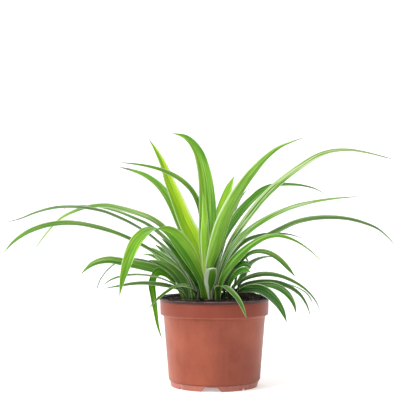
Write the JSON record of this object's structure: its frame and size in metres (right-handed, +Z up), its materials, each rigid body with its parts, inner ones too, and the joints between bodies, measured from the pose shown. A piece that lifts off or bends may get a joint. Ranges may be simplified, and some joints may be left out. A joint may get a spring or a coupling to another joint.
{
  "type": "potted spider plant",
  "caption": "Spider plant with long arching, pale-edged grassy leaves in a thin round terracotta-coloured plastic nursery pot.",
  "frame": {"origin": "on the floor, on the axis of the pot, which is also the bottom centre of the plant's box", "axes": "+Z up along the pot's axis, +X to the right as seen from the front, the front is -Y"},
  "size_m": [0.4174, 0.256, 0.2636],
  "materials": {
    "pot": "thin moulded plastic, terracotta outside and black inside, satin",
    "soil": "dark crumbly potting soil, matte",
    "crown": "pale fibrous rootstock, matte",
    "leaf_young": "yellow-green leaf with cream margins and a pale midrib, soft sheen",
    "leaf_middle": "mid green leaf with cream margins and a pale midrib, soft sheen",
    "leaf_old": "dark green leaf with cream margins, soft sheen"
  },
  "bodies": {
    "root": {"pot": "pot", "soil": "soil", "crown_main": "crown", "crown_left": "crown", "crown_rear": "crown", "crown_right": "crown", "leaf_main_tall": "leaf_middle", "leaf_main_young": "leaf_young", "leaf_main_big_right": "leaf_middle", "leaf_main_front_bend": "leaf_young", "leaf_main_long_right": "leaf_middle", "leaf_main_right_thin": "leaf_old", "leaf_main_low_right_arch": "leaf_old", "leaf_main_broad_right": "leaf_middle", "leaf_main_left_dark": "leaf_old", "leaf_main_front_short": "leaf_old", "leaf_main_front_small": "leaf_young", "leaf_left_long_arch": "leaf_middle", "leaf_left_long_level": "leaf_old", "leaf_left_dark_upper": "leaf_old", "leaf_left_dark_middle": "leaf_old", "leaf_left_dark_lower": "leaf_old", "leaf_left_broad_flat": "leaf_middle", "leaf_left_thin_drop": "leaf_old", "leaf_left_thin_upper": "leaf_middle", "leaf_left_thin_lower": "leaf_middle", "leaf_left_hanging": "leaf_middle", "leaf_left_front_small": "leaf_young", "leaf_left_inner_back": "leaf_old", "leaf_left_inner_front": "leaf_old", "leaf_left_inner_upper": "leaf_old", "leaf_left_base_back": "leaf_old", "leaf_rear_broad_yellow": "leaf_young", "leaf_rear_upper_left": "leaf_middle", "leaf_rear_upper_left_back": "leaf_old", "leaf_rear_short_blunt": "leaf_old", "leaf_rear_grey_tip": "leaf_old", "leaf_rear_dark_right": "leaf_old", "leaf_rear_right_level": "leaf_old", "leaf_rear_left_arch": "leaf_middle", "leaf_rear_left_top_arch": "leaf_old", "leaf_rear_back_left": "leaf_middle", "leaf_rear_back_far_left": "leaf_old", "leaf_rear_back_middle": "leaf_middle", "leaf_rear_back_right": "leaf_old", "leaf_rear_back_low": "leaf_old", "leaf_right_upper": "leaf_middle", "leaf_right_thin": "leaf_old", "leaf_right_inner_dark": "leaf_old", "leaf_right_inner_pale": "leaf_middle", "leaf_right_long_droop": "leaf_middle", "leaf_right_back_droop": "leaf_old", "leaf_right_front_droop": "leaf_middle", "leaf_right_far_droop": "leaf_old", "leaf_right_low_droop": "leaf_middle", "leaf_right_base_dark": "leaf_old"}
  },
  "joints": []
}
